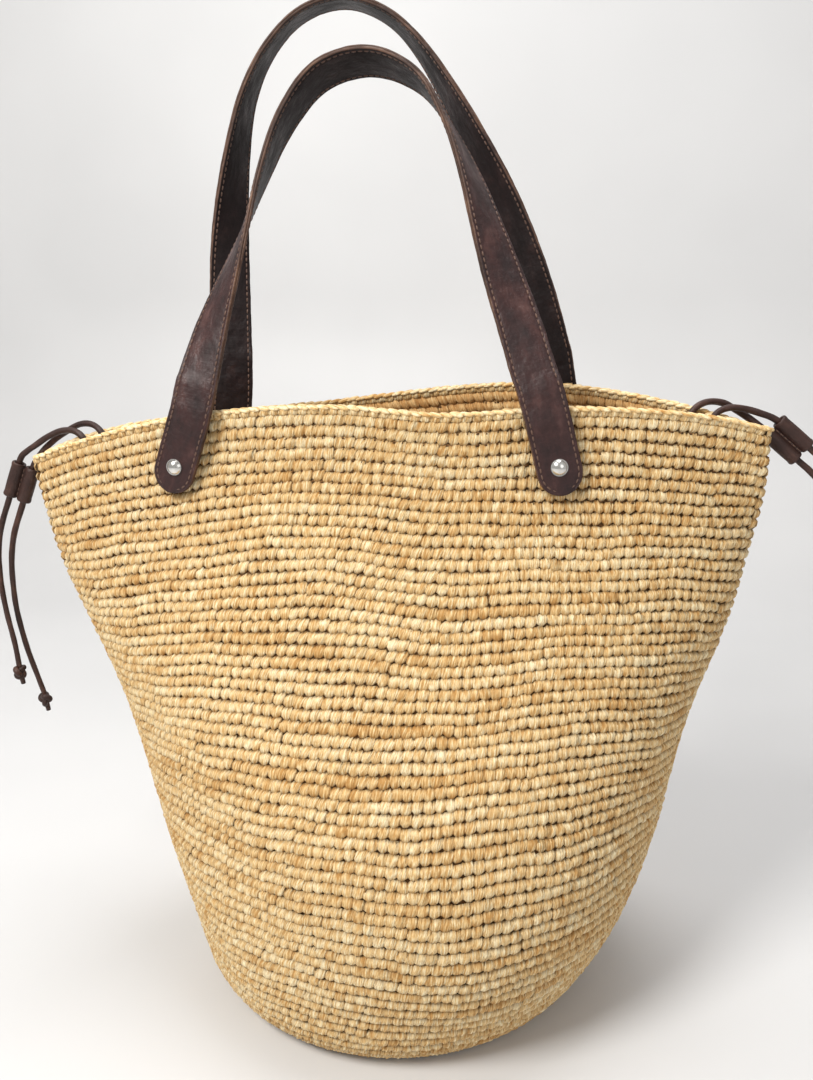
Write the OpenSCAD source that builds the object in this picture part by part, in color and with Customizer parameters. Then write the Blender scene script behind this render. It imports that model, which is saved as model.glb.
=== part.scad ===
// Crocheted raffia beach bag with two leather handles and two corner drawstrings.
// Millimetres. +Z is up, X runs along the mouth, the front is -Y.
// The origin is on the surface the bag stands on, under the middle of the mouth.

/* [Bag body] */
// Height of the rim at the middle of the front and of the back
body_h = 404; // [380:1:424]
// Width of the mouth, from corner to corner
mouth_w = 490; // [460:1:500]
// Gap between the front and the back of the rim, in the middle
mouth_d = 84; // [76:1:92]
// Diameter of the bag at its fullest, low down
belly_d = 308; // [300:1:320]
// Diameter of the flat part of the base
base_d = 236; // [220:1:250]
// How far the rim drops at the left corner
drop_left = 43; // [40:1:46]
// How far the rim drops at the right corner
drop_right = 15; // [12:1:18]
// How far the front of the rim sags near its middle
front_dip = 5; // [3:0.5:6]
// How far the back of the rim waves up on the right and down on the left
back_wave = 8; // [6:0.5:9]
// How far the base stands to the right of the mouth
base_lean = 8; // [5:0.5:10]
// How much further to the right the belly bulges
belly_lean = 11; // [8:0.5:12]
// How far the waist is drawn in on each side
waist_in = 5; // [2:0.5:6]
// Thickness of the crocheted fabric
fabric_t = 6; // [5:0.5:7]
// Height of the slip-stitched edging round
edging_h = 6; // [5:0.5:8]

/* [Handles] */
// Width of the leather strap
strap_w = 28; // [26:1:30]
// Thickness of the outer leather
outer_t = 2.2; // [1.8:0.1:2.4]
// Thickness of the lining leather
lining_t = 2.0; // [1.6:0.1:2.2]
// Half the distance between the two legs of the front handle, at the rim
front_leg_x = 108.5; // [107:0.5:110]
// Half the distance between the two legs of the back handle, at the rim
back_leg_x = 111; // [110:0.5:113]
// Mean tilt of the front handle's tabs, in the plane of the wall
front_tilt = 16.5; // [14:0.5:18]
// Mean tilt of the back handle's tabs
back_tilt = 9; // [7:0.5:11]
// Length of the sewn tab below the rim
tab_len = 54; // [52:0.5:57]
// Lean of the front handle over the mouth
front_lean = 20; // [18:0.5:21]
// Lean of the back handle away from the mouth
back_lean = 8; // [7:0.5:12]

/* [Rivets] */
// Diameter of the domed rivet head
rivet_head_d = 10.6; // [9:0.1:12]
// Diameter of the rivet post
rivet_post_d = 4; // [3:0.1:5]
// Distance from the middle of the rivet to the tip of the tab
rivet_from_tip = 17.5; // [15:0.5:20]
// Diameter of the leather washer inside the bag
washer_d = 22; // [18:1:26]

/* [Drawstrings] */
// Diameter of the leather lace
lace_d = 4.4; // [4:0.1:4.6]
// Length of the slider that both laces run through
slider_l = 26; // [22:1:28]
// Diameter of each of the two channels' leather tubes
slider_tube_d = 10; // [9.5:0.1:10.4]
// Diameter of an overhand knot
knot_d = 11; // [10:0.5:12]

/* [Hidden] */

STRAW = "#e6cb92";
LEATHER = "#4a2d2a";
THREAD = "#7a5246";
NICKEL = "#c8c8c8";

AROUND = 60;            // points round the bag
LEVELS = 15;            // rings up the wall
ARCH_RINGS = 48;        // rings along a handle
LACE_SIDES = 8;

base_r = base_d / 2;
belly_r = belly_d / 2;
mouth_a = mouth_w / 2;
mouth_b = mouth_d / 2;
edge_in = 14;           // how far the rounded bottom edge turns in
edge_up = 30;           // and how high it reaches
belly_share = 0.2;      // height of the fullest round, as a share of body_h
pinch = 0.8;            // how sharply the corners of the mouth are pinched
waist_at = 0.45;        // height of the waist, as a share of body_h
waist_span = 0.16;      // and how far it reaches up and down
shoulder_out = 2.9;     // half of how far the right side stands out below the rim
shoulder_from = 0.55;   // height at which that begins, as a share of body_h
normal_step = 1.5;      // degrees to each side that give the direction out of the wall
edging_round = 1.5;     // how far the edging's shoulders lie below its top
fold = 0.6;             // play between the wall and the edging round

// ---- shape of the crocheted body ----

function edge_round(z) = edge_in * sqrt(1 - pow(1 - min(z / edge_up, 1), 2));
function half_width(u) = base_r + edge_round(u * body_h)
    + (mouth_a - base_r - edge_in) * (u + sin(90 * u)) / 2
    - waist_in * exp(-pow((u - waist_at) / waist_span, 2)) + shoulder(u);
// the right side stands out a little below the rim
function shoulder(u) = u < shoulder_from ? 0
    : shoulder_out * sin(180 * pow((u - shoulder_from) / (1 - shoulder_from), 1.6));
function lean(u) = base_lean * (1 - u) + belly_lean * sin(180 * pow(1 - u, 2)) + shoulder(u);
function half_depth(u) = u < belly_share
    ? base_r + edge_round(u * body_h)
        + (belly_r - base_r - edge_in) * sin(90 * u / belly_share)
    : mouth_b + (belly_r - mouth_b)
        * pow(cos(90 * (u - belly_share) / (1 - belly_share)), 2);
function pinch_power(u) = 1 + pinch * pow(u, 3);
// how far the wavy rim lies below body_h: down to both corners, a dip in the front and a wave in the back
function rim_drop(t) = let (c = cos(t), s = sin(t))
    (c < 0 ? drop_left * pow(abs(c), 2.2) : drop_right * pow(c, 5))
    + (s < 0 ? -front_dip * s * exp(-pow((c - 0.18) / 0.2, 2)) : -back_wave * s * sin(225 * (c - 0.05)));

// a point on the outside of the body, inset by d: t runs round it, u up it
function level_xy(t, u, d) = let (s = sin(t), a = half_width(u) - fabric_t, b = half_depth(u) - fabric_t)
    [lean(u) + a * cos(t), b * sign(s) * pow(abs(s), pinch_power(u))]
    + (fabric_t - d) * level_normal(t, u, a, b);
function level_normal(t, u, a, b) = let (
        p = level_raw(t + normal_step, u, a, b),
        q = level_raw(t - normal_step, u, a, b),
        e = p - q
    ) [e[1], -e[0]] / norm(e);
function level_raw(t, u, a, b) = let (s = sin(t))
    [a * cos(t), b * sign(s) * pow(abs(s), pinch_power(u))];
function level_z(t, u) = u * (body_h - edging_h - rim_drop(t));
function wall_y(x, u) = let (a = half_width(u) - fabric_t, b = half_depth(u) - fabric_t)
    b * pow(1 - pow((x - lean(u)) / a, 2), pinch_power(u) / 2) + fabric_t;

angles = [for (i = [0 : AROUND - 1]) 360 * i / AROUND];

// one closed skin over rings that all have the same number of points; flip turns the
// diagonals the other way, so that two skins can lie face to face
module skin(rings, flip = false) {
    n = len(rings[0]);
    last = (len(rings) - 1) * n;
    polyhedron(
        points = [for (r = rings) each r],
        faces = [
            [for (i = [n - 1 : -1 : 0]) i],
            for (j = [0 : len(rings) - 2], i = [0 : n - 1])
                let (a = j * n + i, b = j * n + (i + 1) % n)
                    each flip ? [[a, b, a + n], [b, b + n, a + n]]
                        : [[a, b, b + n], [a, b + n, a + n]],
            [for (i = [0 : n - 1]) last + i]
        ],
        convexity = 10
    );
}

// the same skin with its last ring joined to its first
module skin_loop(rings) {
    n = len(rings[0]);
    m = len(rings);
    polyhedron(
        points = [for (r = rings) each r],
        faces = [
            for (j = [0 : m - 1], i = [0 : n - 1])
                let (
                    a = j * n + i, b = j * n + (i + 1) % n,
                    c = ((j + 1) % m) * n + (i + 1) % n, d = ((j + 1) % m) * n + i
                ) each [[a, b, c], [a, c, d]]
        ],
        convexity = 10
    );
}

module base_disc() {
    rise = [for (i = [0 : 4]) fabric_t * i / 4];
    color(STRAW)
        translate([lean(wall_foot), 0, 0])
            rotate_extrude($fn = 96)
                polygon([
                    [0, 0],
                    for (z = rise) [base_r + edge_round(z), z],
                    [0, fabric_t]
                ]);
}

// the wall is one loop of slices, each slice running up the outside and down the inside
wall_foot = fabric_t / (body_h - edging_h);
module side_wall() {
    heights = [for (j = [0 : LEVELS]) wall_foot + (1 - wall_foot) * pow(j / LEVELS, 1.25)];
    color(STRAW)
        skin_loop([
            for (t = angles) concat(
                [for (u = heights) wall_point(t, u, 0)],
                [for (j = [LEVELS : -1 : 0]) wall_point(t, heights[j], fabric_t)]
            )
        ]);
}
function wall_point(t, u, d) = let (p = level_xy(t, u, d))
    [p[0], p[1], u == wall_foot ? fabric_t : level_z(t, u)];

module rim_edging() {
    color(STRAW)
        skin_loop([
            for (t = angles) [
                edging_point(t, -fold, 0), edging_point(t, -fold, edging_h - edging_round),
                edging_point(t, fabric_t / 2, edging_h),
                edging_point(t, fabric_t + fold, edging_h - edging_round),
                edging_point(t, fabric_t + fold, 0)
            ]
        ]);
}
function edging_point(t, d, z) = let (p = level_xy(t, 1, d)) [p[0], p[1], level_z(t, 1) + z];

// ---- handles ----

hinge_gap = 2.5;        // clear length on each side of the bending line
hinge_out = 3.5;        // how far the bending line lies outside the strap's mid-plane
hinge_up = 4;           // how far it lies above the rim
tab_clear = 1;          // gap between the lining and the crochet at the tab's two ends
tab_play = 1.6;         // allowance for the curve of the wall across the tab
rivet_play = 2.9;       // the same behind the rivet, where the wall is rounder
front_shift = -5.5;     // how far the front handle was sewn off the middle
back_shift = -1;
yaw_reach = 10;         // half the length of rim that gives a tab its turn with the wall
yaw_more = 2;           // how much further the wall has turned behind the tab
uneven_tilt = 2.5;      // how far each tab's tilt differs from its handle's mean
strap_t = outer_t + lining_t;

// side is -1 for the front and 1 for the back, leg is -1 for left and 1 for right
function half_gap(side) = side < 0 ? front_leg_x : back_leg_x;
function shift(side) = side < 0 ? front_shift : back_shift;
function leg_at(side, leg) = shift(side) + leg * half_gap(side);
function tilt_of(side, leg) = (side < 0 ? front_tilt : back_tilt) + side * leg * uneven_tilt;
function rim_y(side, leg) = wall_y(leg_at(side, leg), 1);
function strap_y(side) = max(rim_y(side, -1), rim_y(side, 1)) + tab_clear + tab_play + strap_t / 2;
function hinge_y(side) = strap_y(side) + hinge_out;
function rim_z(side, leg) = body_h - rim_drop(side * acos(leg_at(side, leg) / mouth_a));
// the bending line is level, so it lies further above the lower end of the rim
function hinge_z(side) = max(rim_z(side, -1), rim_z(side, 1)) + hinge_up;
function tab_l(side, leg) = tab_len + hinge_z(side) - hinge_gap - rim_z(side, leg);
function rivet_z(side, leg) = rivet_from_tip - tab_l(side, leg);
function tab_yaw(side, leg) = let (x = leg_at(side, leg))
    yaw_more + atan((wall_y(x - leg * yaw_reach, 1) - wall_y(x + leg * yaw_reach, 1)) / (2 * yaw_reach));
// the slope that lays the tab on the wall at its rivet
function tab_slope(side, leg) = let (
        out = -rivet_z(side, leg) * sin(tilt_of(side, leg)),
        u = (hinge_z(side) - hinge_gap + rivet_z(side, leg)) / (rim_z(side, leg) - edging_h),
        wall = wall_y(leg_at(side, leg) + leg * out, u),
        back = wall + rivet_play + lining_t + out * tan(tab_yaw(side, leg))
    ) atan((back - strap_y(side)) / -rivet_z(side, leg));

// an arch in its own plane: [distance from the handle's middle, height above the bending line]
ARCH_FRONT = [
    [108.5, 2.5], [102.5, 16], [92, 48], [81, 79], [70.5, 110], [59, 143], [44.5, 175], [24.5, 204],
    [-6.5, 218], [-38.5, 209], [-59.5, 180], [-72.5, 144], [-81.5, 111], [-90.5, 79], [-99.5, 46],
    [-106, 15], [-108.5, 2.5]
];
ARCH_BACK = [
    [111, 2.5], [107, 17], [97, 50], [85, 83], [71.5, 115], [56, 146], [39, 177], [17, 210],
    [-6, 232], [-35, 242], [-64, 234], [-86, 212], [-100, 183], [-107, 150], [-111, 117],
    [-113, 83], [-113, 49], [-112, 15], [-111, 2.5]
];
TWIST_TOP = 98;         // how far the strap has turned about its own length at the top
twist_skew = 1.15;      // how much longer the right leg keeps facing forwards
twist_ease = 1.5;

function clamp_at(list, i) = list[max(0, min(len(list) - 1, i))];
// a smooth curve through the points of a route, k steps to each span
function smooth(route, k) = [
    for (i = [0 : len(route) - 2], j = [0 : k - 1])
        spline(clamp_at(route, i - 1), route[i], route[i + 1], clamp_at(route, i + 2), j / k),
    route[len(route) - 1]
];
function spline(a, b, c, d, s) = b + s / 2 * ((c - a)
    + s * ((2 * a - 5 * b + 4 * c - d) + s * (3 * b - 3 * c + d - a)));
function tangent(path, i) = let (e = clamp_at(path, i + 1) - clamp_at(path, i - 1)) e / norm(e);

// One ring of a strap: section holds [across, out] pairs. The strap faces away from the
// bag at both legs and turns to face outwards from the loop at the top.
function strap_ring(path, i, section) = let (
        p = path[i],
        t = tangent(path, i),
        f = i / (len(path) - 1),
        turn = TWIST_TOP * pow(sin(180 * pow(f, twist_skew)), twist_ease),
        up = [t[1], 0, -t[0]],
        along = [t[0], 0, t[1]],
        face = [up[0] * sin(turn), -cos(turn), up[2] * sin(turn)],
        across = cross(along, face)
    ) [for (q = section) [p[0], hinge_out, p[1]] + q[0] * across + q[1] * face];

module strap(side, section, flip) {
    route = side < 0 ? ARCH_FRONT : ARCH_BACK;
    reach = half_gap(side) / route[0][0];
    path = smooth([for (p = route) [p[0] * reach, p[1]]], round(ARCH_RINGS / (len(route) - 1)));
    skin([for (i = [0 : len(path) - 1]) strap_ring(path, i, section)], flip);
}

// sections of the layers: [across the strap, out from the seam between the two leathers]
half_w = strap_w / 2;
SEAM = 0.05;            // glue line between outer and lining
OUTER = [
    [-half_w, SEAM], [half_w, SEAM], [half_w, outer_t - 0.6], [half_w * 0.6, outer_t - 0.1],
    [0, outer_t], [-half_w * 0.6, outer_t - 0.1], [-half_w, outer_t - 0.6]
];
LINING = [[-half_w, -lining_t], [half_w, -lining_t], [half_w, 0], [-half_w, 0]];
stitch_in = 2.6;        // from the edge of the strap to its row of stitches
thread_r = 0.4;         // half the width of a row
thread_h = 0.5;         // how far it stands up
function stitch_section(edge) = let (
        x = edge * (half_w - stitch_in),
        z = outer_t - SEAM,
        top = outer_t + SEAM + thread_h
    ) [[x - thread_r, z], [x + thread_r, z], [x + thread_r, top], [x - thread_r, top]];

// puts a handle's own plane at its place
module at_hinge(side) {
    translate([shift(side), side * hinge_y(side), hinge_z(side)])
        rotate([side < 0 ? -front_lean : -back_lean, 0, 0])
            scale([1, -side, 1])
                children();
}

module handle_layer(side, section, tint, flip = false) {
    color(tint)
        at_hinge(side)
            strap(side, section, flip);
}

module handle_stitching(side) {
    for (edge = [-1, 1])
        handle_layer(side, stitch_section(edge), THREAD);
}

// ---- tabs and rivets ----

// places a tab's own frame: y across the leathers with -y outwards, z up the strap
module at_tab(side, leg) {
    translate([leg_at(side, leg), side * strap_y(side), hinge_z(side) - hinge_gap])
        rotate([0, 0, side < 0 ? 0 : 180])
            rotate([0, 0, side * leg * -tab_yaw(side, leg)])
                rotate([-tab_slope(side, leg), 0, 0])
                    rotate([0, side * leg * tilt_of(side, leg), 0])
                        children();
}

module tab_outline(long, inset) {
    r = half_w - inset;
    translate([0, half_w - long])
        circle(r = r, $fn = 64);
    translate([-r, half_w - long])
        square([2 * r, long - half_w]);
}

// a leather layer from y0 to y1, punched for the rivet
module tab_layer(side, leg, y0, y1) {
    color(LEATHER)
        at_tab(side, leg)
            rotate([90, 0, 0])
                translate([0, 0, -y1])
                    linear_extrude(y1 - y0)
                        difference() {
                            tab_outline(tab_l(side, leg), 0);
                            translate([0, rivet_z(side, leg)])
                                circle(d = rivet_post_d, $fn = 32);
                        }
}
module tab_outer(side, leg) { tab_layer(side, leg, -outer_t, -SEAM); }
module tab_lining(side, leg) { tab_layer(side, leg, 0, lining_t); }

// the row of stitches runs down one edge, round the tip and up the other
module tab_stitching(side, leg) {
    long = tab_l(side, leg);
    color(THREAD)
        at_tab(side, leg)
            rotate([90, 0, 0])
                translate([0, 0, outer_t + SEAM])
                    linear_extrude(thread_h)
                        intersection() {
                            difference() {
                                tab_outline(long, stitch_in - thread_r);
                                tab_outline(long, stitch_in + thread_r);
                            }
                            translate([-half_w, -long])
                                square([strap_w, long - thread_h]);
                        }
}

washer_t = 2;
washer_play = 1.1;      // room for the curve of the wall behind the washer
// outer face of the washer inside the bag, measured in from the seam of the strap
washer_y = lining_t + rivet_play + fabric_t + washer_play;

module washer(side, leg) {
    color(LEATHER)
        at_tab(side, leg)
            translate([0, washer_y, rivet_z(side, leg)])
                rotate([-90, 0, 0])
                    difference() {
                        cylinder(d = washer_d, h = washer_t, $fn = 48);
                        translate([0, 0, -1])
                            cylinder(d = rivet_post_d, h = washer_t + 2, $fn = 32);
                    }
}

// domed head with a small step, and its post through the leathers, the crochet and the washer
head_step = 0.8;        // height of the head's plain edge
head_lip = 0.6;         // width of the ledge round the dome
head_dome = 2.4;        // height of the dome above the edge
module rivet_stud(post) {
    dome_r = rivet_head_d / 2 - head_lip;
    ball = (dome_r * dome_r + head_dome * head_dome) / (2 * head_dome);
    rotate([90, 0, 0])
        rotate_extrude($fn = 48)
            polygon([
                [0, -post],
                [rivet_post_d / 2 - 0.05, -post],
                [rivet_post_d / 2 - 0.05, 0],
                [rivet_head_d / 2, 0],
                [rivet_head_d / 2, head_step],
                for (i = [0 : 8])
                    let (r = dome_r * (1 - i / 8))
                        [r, head_step + sqrt(ball * ball - r * r) - ball + head_dome]
            ]);
}
module rivet_studs() {
    color(NICKEL)
        for (side = [-1, 1], leg = [-1, 1])
            at_tab(side, leg)
                translate([0, -outer_t, rivet_z(side, leg)])
                    rivet_stud(outer_t + washer_y + washer_t);
}

// flat cap with a sloping edge, closed over the end of the post
module rivet_caps() {
    slope_r = rivet_head_d / 2 - 1.9;
    color(NICKEL)
        for (side = [-1, 1], leg = [-1, 1])
            at_tab(side, leg)
                translate([0, washer_y + washer_t, rivet_z(side, leg)])
                    rotate([-90, 0, 0])
                        rotate_extrude($fn = 48)
                            polygon([
                                [0, 0], [rivet_head_d / 2, 0], [rivet_head_d / 2, head_step],
                                [slope_r, head_step + 1], [0, head_step + 1.2]
                            ]);
}

// ---- drawstrings ----
// Each lace is one strip of leather. Its middle is held by the crochet inside the corner,
// and its two ends pass over the rim, through the slider and down to a knot.

LEFT_OUTER = [
    [-205, 5, 354], [-207, 5.5, 363.5], [-210.8, 5.8, 372.2], [-218, 8.6, 376], [-228, 11.5, 375.6],
    [-239, 12.5, 371.3], [-250, 13.5, 364.5], [-257, 14, 360], [-262, 14, 355], [-268, 14, 340],
    [-274, 14, 325], [-282, 14, 305], [-286, 13.5, 286], [-286.5, 13, 263], [-284, 12, 240],
    [-280, 11.5, 216], [-278, 11, 197]
];
LEFT_INNER = [
    [-192, 8, 354], [-194, 8, 365], [-197.8, 8.3, 375.2], [-206, 12.3, 380.2], [-217, 16.5, 379.6],
    [-228, 18, 374.2], [-238, 17.5, 367.5], [-246, 15.5, 360], [-252.5, 14, 350.5],
    [-258.5, 14, 335.5], [-264.5, 14, 320.5], [-272.5, 14, 300.5], [-277.5, 15.5, 281],
    [-280, 18, 260], [-280, 19.5, 238], [-275.5, 20, 210], [-269, 20, 186], [-265, 20, 172]
];
LEFT_LOOP = [
    [-205, 5, 354], [-204, 9, 345], [-198.5, 15.5, 340], [-193, 11, 345], [-192, 8, 354]
];
RIGHT_OUTER = [
    [205, 5, 374], [207, 5.5, 384.5], [210.8, 5.8, 394.3], [218.5, 8.6, 398.5], [229, 11.5, 398],
    [240, 13, 395], [250, 14, 391], [262, 14, 382], [274, 14, 372], [284, 14, 363.5],
    [293, 14, 354], [300.5, 14, 341], [305, 13.5, 321], [307.5, 13, 299], [308.5, 12.5, 276],
    [309, 12, 254]
];
RIGHT_INNER = [
    [192, 8, 374], [193.5, 8, 385.5], [197.4, 8.3, 396.6], [206, 12.3, 401.6], [217, 16.5, 400.8],
    [227, 17.5, 395.6], [236, 16, 390], [244, 14, 384], [256, 14, 373.5], [268, 14, 363.5],
    [274, 14, 358.5], [282, 15, 350], [289.5, 17, 336.5], [294, 19, 318], [297, 20.5, 296],
    [298.5, 21, 272], [299, 21, 249], [299, 21, 231]
];
RIGHT_LOOP = [
    [205, 5, 374], [204, 9, 365], [198.5, 15.5, 360], [193, 11, 365], [192, 8, 374]
];

// rings of a round lace, its sides kept level by a fixed reference direction
function lace_ring(path, i, r) = let (
        t = tangent(path, i),
        side = cross(t, [0, 1, 0]) / norm(cross(t, [0, 1, 0])),
        other = cross(t, side)
    ) [for (k = [0 : LACE_SIDES - 1])
        path[i] + r * (cos(360 * k / LACE_SIDES) * side + sin(360 * k / LACE_SIDES) * other)];

module lace(route, steps) {
    path = smooth(route, steps);
    color(LEATHER)
        skin([for (i = [0 : len(path) - 1]) lace_ring(path, i, lace_d / 2)]);
}

knot_grip = 2;          // how far the lace's end lies inside the knot
knot_squash = 0.9;
module knot(route) {
    end = route[len(route) - 1];
    color(LEATHER)
        translate(end - [0, 0, knot_d / 2 - knot_grip])
            rotate_extrude($fn = 40)
                polygon([for (i = [0 : 16]) let (a = 180 * i / 16 - 90)
                    [knot_d / 2 * cos(a), knot_d / 2 * knot_squash * sin(a)]]);
}

// two leather tubes sewn side by side; at is its middle and tilt its lean in the X-Z plane
channel_d = lace_d + 1.2;
tube_gap = 0.5;
web_t = 4;
module slider(at, tilt) {
    apart = (slider_tube_d + tube_gap) / 2;
    color(LEATHER)
        translate(at)
            rotate([0, tilt, 0])
                difference() {
                    union() {
                        for (s = [-1, 1])
                            translate([s * apart, 0, -slider_l / 2])
                                cylinder(d = slider_tube_d, h = slider_l, $fn = 48);
                        translate([-apart, -web_t / 2, -slider_l / 2])
                            cube([2 * apart, web_t, slider_l]);
                    }
                    for (s = [-1, 1])
                        translate([s * apart, 0, -slider_l / 2 - 1])
                            cylinder(d = channel_d, h = slider_l + 2, $fn = 40);
                }
}
LEFT_SLIDER = [-263.1, 14, 338];
RIGHT_SLIDER = [258.6, 14, 378];
LEFT_TILT = atan(0.4);
RIGHT_TILT = -atan(1.2);

base_disc();
side_wall();
rim_edging();
handle_layer(-1, OUTER, LEATHER);  // front_handle_outer
handle_layer(-1, LINING, LEATHER, true);  // front_handle_lining
handle_stitching(-1);  // front_handle_stitching
handle_layer(1, OUTER, LEATHER);  // back_handle_outer
handle_layer(1, LINING, LEATHER, true);  // back_handle_lining
handle_stitching(1);  // back_handle_stitching
tab_outer(-1, -1);  // front_left_tab_outer
tab_lining(-1, -1);  // front_left_tab_lining
tab_stitching(-1, -1);  // front_left_tab_stitching
tab_outer(-1, 1);  // front_right_tab_outer
tab_lining(-1, 1);  // front_right_tab_lining
tab_stitching(-1, 1);  // front_right_tab_stitching
tab_outer(1, -1);  // back_left_tab_outer
tab_lining(1, -1);  // back_left_tab_lining
tab_stitching(1, -1);  // back_left_tab_stitching
tab_outer(1, 1);  // back_right_tab_outer
tab_lining(1, 1);  // back_right_tab_lining
tab_stitching(1, 1);  // back_right_tab_stitching
washer(-1, -1);  // front_left_washer
washer(-1, 1);  // front_right_washer
washer(1, -1);  // back_left_washer
washer(1, 1);  // back_right_washer
rivet_studs();
rivet_caps();
lace(LEFT_LOOP, 3);  // left_lace_loop
lace(LEFT_OUTER, 3);  // left_lace_outer_end
lace(LEFT_INNER, 3);  // left_lace_inner_end
slider(LEFT_SLIDER, LEFT_TILT);  // left_slider
knot(LEFT_OUTER);  // left_outer_knot
knot(LEFT_INNER);  // left_inner_knot
lace(RIGHT_LOOP, 3);  // right_lace_loop
lace(RIGHT_OUTER, 3);  // right_lace_outer_end
lace(RIGHT_INNER, 3);  // right_lace_inner_end
slider(RIGHT_SLIDER, RIGHT_TILT);  // right_slider
knot(RIGHT_OUTER);  // right_outer_knot
knot(RIGHT_INNER);  // right_inner_knot
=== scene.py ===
"""The look of a crocheted raffia beach bag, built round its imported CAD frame. Metres."""
import math

import bpy
import numpy as np
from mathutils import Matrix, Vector


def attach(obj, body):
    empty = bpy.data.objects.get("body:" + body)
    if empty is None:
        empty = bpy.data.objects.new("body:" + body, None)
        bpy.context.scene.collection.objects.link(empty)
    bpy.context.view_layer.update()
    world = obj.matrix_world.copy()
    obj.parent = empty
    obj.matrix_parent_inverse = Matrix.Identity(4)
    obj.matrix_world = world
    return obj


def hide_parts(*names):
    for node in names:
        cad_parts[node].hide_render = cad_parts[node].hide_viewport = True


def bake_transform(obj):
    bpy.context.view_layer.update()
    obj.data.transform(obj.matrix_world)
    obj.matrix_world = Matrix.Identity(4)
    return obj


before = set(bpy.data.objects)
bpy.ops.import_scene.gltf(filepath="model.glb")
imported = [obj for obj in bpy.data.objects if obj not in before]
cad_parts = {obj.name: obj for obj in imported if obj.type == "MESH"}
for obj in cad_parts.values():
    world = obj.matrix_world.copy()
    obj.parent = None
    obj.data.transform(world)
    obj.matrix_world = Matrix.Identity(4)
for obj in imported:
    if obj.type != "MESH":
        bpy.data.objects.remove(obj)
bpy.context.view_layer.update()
MM = 0.001
rng = np.random.default_rng(11)

# ---- camera ----
FOCAL_MM, SENSOR_MM = 32.8, 36.0
CAMERA_AT = (0.092, -0.636, 0.477)
CAMERA_TURN = (75.2, 0.0, 6.93)


def add_object(name, data):
    obj = bpy.data.objects.new(name, data)
    bpy.context.scene.collection.objects.link(obj)
    return obj


def make_camera():
    data = bpy.data.cameras.new("camera")
    data.sensor_fit = "VERTICAL"
    data.sensor_height = SENSOR_MM
    data.lens = FOCAL_MM
    data.clip_start = 0.01
    cam = add_object("camera", data)
    cam.location = CAMERA_AT
    cam.rotation_euler = [math.radians(a) for a in CAMERA_TURN]
    bpy.context.scene.camera = cam


make_camera()

# ---- shape of the crocheted body ----
# The same curves as the CAD model's, in millimetres: t is the angle round the bag in degrees,
# u the share of its height, d the depth in from the outside.
BODY_H, EDGING_H, FABRIC_T = 404.0, 6.0, 6.0
BASE_R, BELLY_R, MOUTH_A, MOUTH_B = 118.0, 154.0, 245.0, 42.0
EDGE_IN, EDGE_UP, BELLY_SHARE, PINCH = 14.0, 30.0, 0.2, 0.8
DROP_LEFT, DROP_RIGHT, FRONT_DIP, BACK_WAVE = 43.0, 15.0, 5.0, 8.0
BASE_LEAN, BELLY_LEAN = 8.0, 11.0       # how far the base and the belly stand to the right
WAIST_IN, WAIST_AT, WAIST_SPAN = 5.0, 0.45, 0.16
SHOULDER_OUT, SHOULDER_FROM = 2.9, 0.55
ROUNDS = 59             # rounds of stitches up the wall
STITCH_W = 6.3          # width of a stitch
WALL_TOP = BODY_H - EDGING_H


def sind(a):
    return np.sin(np.radians(a))


def cosd(a):
    return np.cos(np.radians(a))


def rot(axis, degrees):
    c, s = math.cos(math.radians(degrees)), math.sin(math.radians(degrees))
    return {"x": np.array([[1, 0, 0], [0, c, -s], [0, s, c]]),
            "y": np.array([[c, 0, s], [0, 1, 0], [-s, 0, c]]),
            "z": np.array([[c, -s, 0], [s, c, 0], [0, 0, 1]])}[axis]


def edge_round(z):
    return EDGE_IN * np.sqrt(np.maximum(0, 1 - (1 - np.minimum(z / EDGE_UP, 1)) ** 2))


def half_width(u):
    return BASE_R + edge_round(u * BODY_H) + (MOUTH_A - BASE_R - EDGE_IN) * (u + sind(90 * u)) / 2 \
        - WAIST_IN * np.exp(-((u - WAIST_AT) / WAIST_SPAN) ** 2) + shoulder(u)


def shoulder(u):
    """The right side stands out a little below the rim."""
    share = np.clip((u - SHOULDER_FROM) / (1 - SHOULDER_FROM), 0, 1)
    return SHOULDER_OUT * sind(180 * share ** 1.6)


def lean(u):
    return BASE_LEAN * (1 - u) + BELLY_LEAN * sind(180 * (1 - u) ** 2) + shoulder(u)


def half_depth(u):
    low = BASE_R + edge_round(u * BODY_H) \
        + (BELLY_R - BASE_R - EDGE_IN) * sind(90 * np.minimum(u / BELLY_SHARE, 1))
    share = np.clip((u - BELLY_SHARE) / (1 - BELLY_SHARE), 0, 1)
    return np.where(u < BELLY_SHARE, low, MOUTH_B + (BELLY_R - MOUTH_B) * cosd(90 * share) ** 2)


def section(t, u):
    a, b = half_width(u) - FABRIC_T, half_depth(u) - FABRIC_T
    s = sind(t)
    return lean(u) + a * cosd(t), b * np.sign(s) * np.abs(s) ** (1 + PINCH * np.clip(u, 0, 1) ** 3)


def rim_drop(t):
    """How far the wavy rim lies below the middle of the back."""
    c, s = cosd(t), sind(t)
    side = np.where(c < 0, DROP_LEFT * np.abs(c) ** 2.2, DROP_RIGHT * np.abs(c) ** 5)
    front = FRONT_DIP * -s * np.exp(-((c - 0.18) / 0.2) ** 2)
    return side + np.where(s < 0, front, -BACK_WAVE * s * sind(225 * (c - 0.05)))


# soft unevenness of the hand-made wall: (turns round, turns up, phase, depth)
DENTS = [(2, 1.1, 0.4, 1.2), (3, 1.7, 2.1, 0.9), (5, 2.3, 4.0, 0.6), (7, 3.1, 1.2, 0.4), (1, 2.2, 5.2, 0.8)]


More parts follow.
